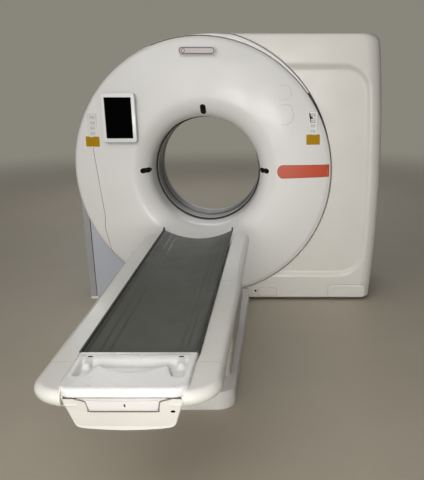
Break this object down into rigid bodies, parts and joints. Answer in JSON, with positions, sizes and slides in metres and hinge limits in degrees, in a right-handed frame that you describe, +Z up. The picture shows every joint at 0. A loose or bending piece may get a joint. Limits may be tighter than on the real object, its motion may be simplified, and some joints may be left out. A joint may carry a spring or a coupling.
{
  "type": "ct scanner",
  "caption": "Medical CT scanner: round-faced gantry with a wide bore on a floor frame, and a patient table whose concave top lifts and slides through the bore.",
  "frame": {"origin": "on the floor, straight under the bore's axis in the scan plane", "axes": "+Z up, +Y from the table into the bore, +X to the right as seen from the table"},
  "size_m": [2.042, 3.386, 1.77],
  "materials": {
    "white_cover": "satin moulded plastic, warm white",
    "housing_white": "satin painted moulding, slightly beige",
    "panel_grey": "grey-blue fine-textured panel",
    "liner_grey": "light grey liner",
    "window_film": "dark film",
    "rubber_black": "soft seal",
    "steel_paint": "grey powder coat",
    "steel_bare": "ground steel",
    "cast_dark": "dark casting",
    "drum_alu": "machined",
    "module_grey": "painted box",
    "copper_ring": "contact tracks",
    "lens_white": "frosted lens",
    "tablet_white": "white tablet case",
    "black_glass": "black glass-like screen",
    "key_grey": "soft-touch key",
    "lift_beige": "beige-grey cover",
    "cradle_grey": "grey-green satin cradle surface",
    "surround_cream": "satin cream white"
  },
  "bodies": {
    "gantry": {"front_cover": "white_cover", "right_housing": "housing_white", "left_corner_panel": "panel_grey", "left_front_panel": "panel_grey", "rim_cover": "white_cover", "rear_cover": "white_cover", "bore_liner_front": "liner_grey", "scan_window": "window_film", "bore_liner_rear": "liner_grey", "bore_seal_ring": "rubber_black", "base_frame": "steel_paint", "levelling_feet": "cast_dark", "floor_plate": "steel_bare", "stator_frame": "steel_paint", "bearing_outer_ring": "steel_bare", "bearing_balls": "steel_bare", "drive_motor": "cast_dark", "drive_belt": "rubber_black", "power_cabinet": "module_grey", "status_light_housing": "tablet_white", "status_light_lens": "lens_white", "tablet_dock": "white_cover", "tablet_body": "tablet_white", "tablet_screen": "black_glass", "laser_windows": "black_glass", "left_control_strip": "white_cover", "right_control_strip": "white_cover", "service_flap": "housing_white", "cable_cover": "housing_white", "table_plinth": "white_cover", "lift_cover_lower": "lift_beige", "lift_columns": "steel_bare"},
    "rotor": {"bearing_inner_ring": "steel_bare", "rotor_drum": "drum_alu", "xray_tube": "module_grey", "beam_collimator": "cast_dark", "detector_arc": "module_grey", "high_voltage_generator": "module_grey", "cooling_unit": "module_grey", "counterweights": "cast_dark", "slip_ring": "copper_ring"},
    "motor_pulley": {"motor_pulley": "drum_alu"},
    "lift_middle": {"lift_cover_middle": "lift_beige", "lift_tubes": "steel_bare"},
    "table_lift": {"lift_cover_upper": "lift_beige", "lift_rods": "steel_bare", "table_carrier": "drum_alu", "table_surround": "surround_cream", "belly_cover": "white_cover"},
    "tabletop": {"tabletop_cradle": "cradle_grey", "tabletop_foot": "white_cover", "slide_carriage": "steel_bare"},
    "left_key_1": {"left_key_1": "key_grey"},
    "left_key_2": {"left_key_2": "key_grey"},
    "left_key_3": {"left_key_3": "key_grey"},
    "left_key_4": {"left_key_4": "key_grey"},
    "right_key_1": {"right_key_1": "key_grey"},
    "right_key_2": {"right_key_2": "key_grey"},
    "right_key_3": {"right_key_3": "key_grey"},
    "right_key_4": {"right_key_4": "key_grey"}
  },
  "joints": [
    {"name": "rotor_spin", "type": "hinge", "parent": "gantry", "child": "rotor", "pos_m": [0, 0, 0.897], "axis": [0, -1, 0], "continuous": true},
    {"name": "pulley_spin", "type": "hinge", "parent": "gantry", "child": "motor_pulley", "pos_m": [0.905, 0, 0.33], "axis": [0, -1, 0], "continuous": true},
    {"name": "lift_travel", "type": "slide", "parent": "gantry", "child": "table_lift", "axis": [0, 0, 1], "range_m": [-0.12, 0.28]},
    {"name": "lift_middle_travel", "type": "slide", "parent": "gantry", "child": "lift_middle", "axis": [0, 0, 1], "range_m": [-0.06, 0.14]},
    {"name": "tabletop_travel", "type": "slide", "parent": "table_lift", "child": "tabletop", "axis": [0, 1, 0], "range_m": [0, 1.6]},
    {"name": "left_key_1_press", "type": "slide", "parent": "gantry", "child": "left_key_1", "axis": [0, 1, 0], "range_m": [0, 0.0015], "stiffness_N_per_m": 800},
    {"name": "left_key_2_press", "type": "slide", "parent": "gantry", "child": "left_key_2", "axis": [0, 1, 0], "range_m": [0, 0.0015], "stiffness_N_per_m": 800},
    {"name": "left_key_3_press", "type": "slide", "parent": "gantry", "child": "left_key_3", "axis": [0, 1, 0], "range_m": [0, 0.0015], "stiffness_N_per_m": 800},
    {"name": "left_key_4_press", "type": "slide", "parent": "gantry", "child": "left_key_4", "axis": [0, 1, 0], "range_m": [0, 0.0015], "stiffness_N_per_m": 800},
    {"name": "right_key_1_press", "type": "slide", "parent": "gantry", "child": "right_key_1", "axis": [0, 1, 0], "range_m": [0, 0.0015], "stiffness_N_per_m": 800},
    {"name": "right_key_2_press", "type": "slide", "parent": "gantry", "child": "right_key_2", "axis": [0, 1, 0], "range_m": [0, 0.0015], "stiffness_N_per_m": 800},
    {"name": "right_key_3_press", "type": "slide", "parent": "gantry", "child": "right_key_3", "axis": [0, 1, 0], "range_m": [0, 0.0015], "stiffness_N_per_m": 800},
    {"name": "right_key_4_press", "type": "slide", "parent": "gantry", "child": "right_key_4", "axis": [0, 1, 0], "range_m": [0, 0.0015], "stiffness_N_per_m": 800}
  ],
  "couplings": [
    {"joint": "pulley_spin", "follows": "rotor_spin", "ratio": 12.333},
    {"joint": "lift_middle_travel", "follows": "lift_travel", "ratio": 0.5}
  ]
}
